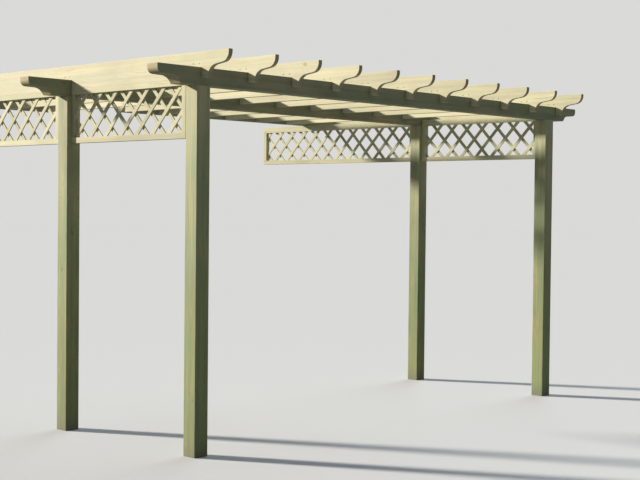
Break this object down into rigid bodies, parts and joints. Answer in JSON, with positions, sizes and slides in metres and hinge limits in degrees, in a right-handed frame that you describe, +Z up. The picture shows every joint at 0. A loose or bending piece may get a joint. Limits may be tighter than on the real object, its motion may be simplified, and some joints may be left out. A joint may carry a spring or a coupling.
{
  "type": "wooden pergola",
  "caption": "Open lean-to timber pergola: square posts, ogee-ended beams, notched rafters ending on two wall ledgers, diagonal lattice panels along both sides.",
  "frame": {"origin": "middle of the pergola's outline in plan, on the floor that the posts stand on", "axes": "+X along the open front from left to right, +Y from the front to the house wall, +Z up"},
  "size_m": [4.915, 3.876, 2.686],
  "materials": {
    "post_timber": "translucent green stain on planed pine",
    "beam_timber": "translucent green stain on planed pine",
    "ledger_timber": "translucent green stain on planed pine",
    "rafter_timber": "translucent green stain on planed pine",
    "lattice_timber": "translucent green stain on planed pine"
  },
  "bodies": {
    "root": {"post_front_left": "post_timber", "post_front_right": "post_timber", "post_rear_left": "post_timber", "post_rear_right": "post_timber", "beam_front": "beam_timber", "beam_rear": "beam_timber", "rafter_01": "rafter_timber", "rafter_02": "rafter_timber", "rafter_03": "rafter_timber", "rafter_04": "rafter_timber", "rafter_05": "rafter_timber", "rafter_06": "rafter_timber", "rafter_07": "rafter_timber", "rafter_08": "rafter_timber", "rafter_09": "rafter_timber", "rafter_10": "rafter_timber", "rafter_11": "rafter_timber", "lattice_left_side": "lattice_timber", "lattice_right_side": "lattice_timber", "lattice_left_back": "lattice_timber", "lattice_right_back": "lattice_timber", "ledger_far_wall": "ledger_timber", "ledger_near_wall": "ledger_timber"}
  },
  "joints": []
}
